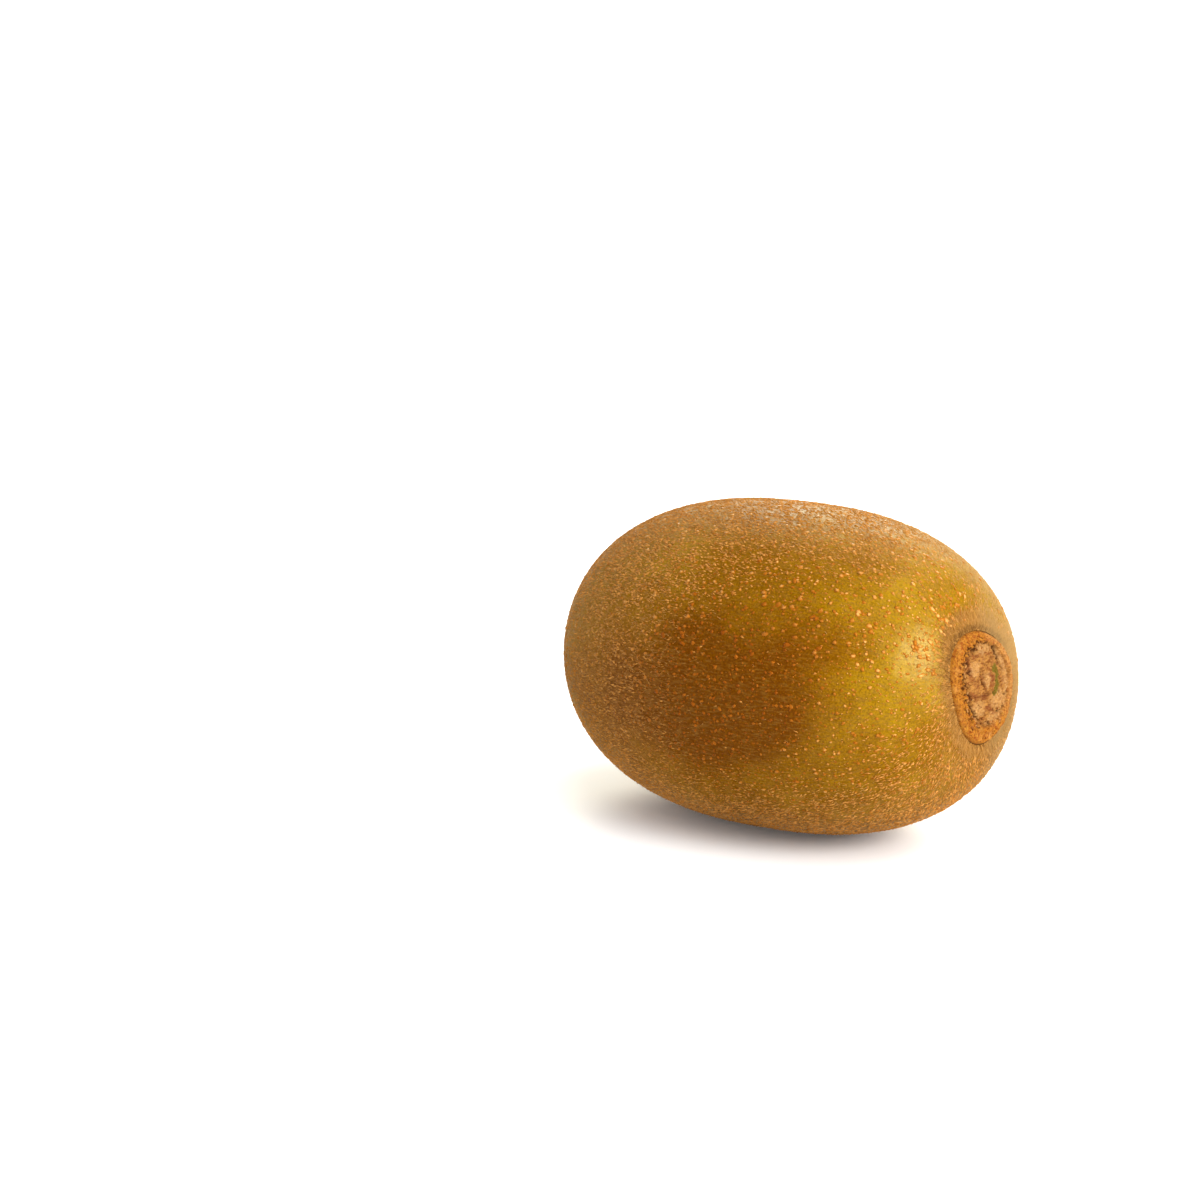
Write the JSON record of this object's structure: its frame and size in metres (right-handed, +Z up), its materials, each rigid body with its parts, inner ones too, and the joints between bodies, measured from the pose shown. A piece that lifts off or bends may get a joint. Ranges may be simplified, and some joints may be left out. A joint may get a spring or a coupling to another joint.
{
  "type": "kiwi fruit",
  "caption": "Whole golden kiwi fruit lying on its side, a blunt oval with speckled skin, a corky stem scar at one end and a low beak at the other.",
  "frame": {"origin": "bottom centre of the fruit's bounding box, at the level of the flat spot it rests on", "axes": "+Z up, +X along the long axis towards the stem end, +Y across the fruit"},
  "size_m": [0.0766, 0.0528, 0.0519],
  "materials": {
    "skin": "satin olive-gold skin with raised tan corky dots and a short tan fuzz that is thicker towards both ends",
    "stem_scar": "matt granular orange-brown cork round torn dry tan tissue"
  },
  "bodies": {
    "root": {"fruit": "skin"}
  },
  "joints": []
}
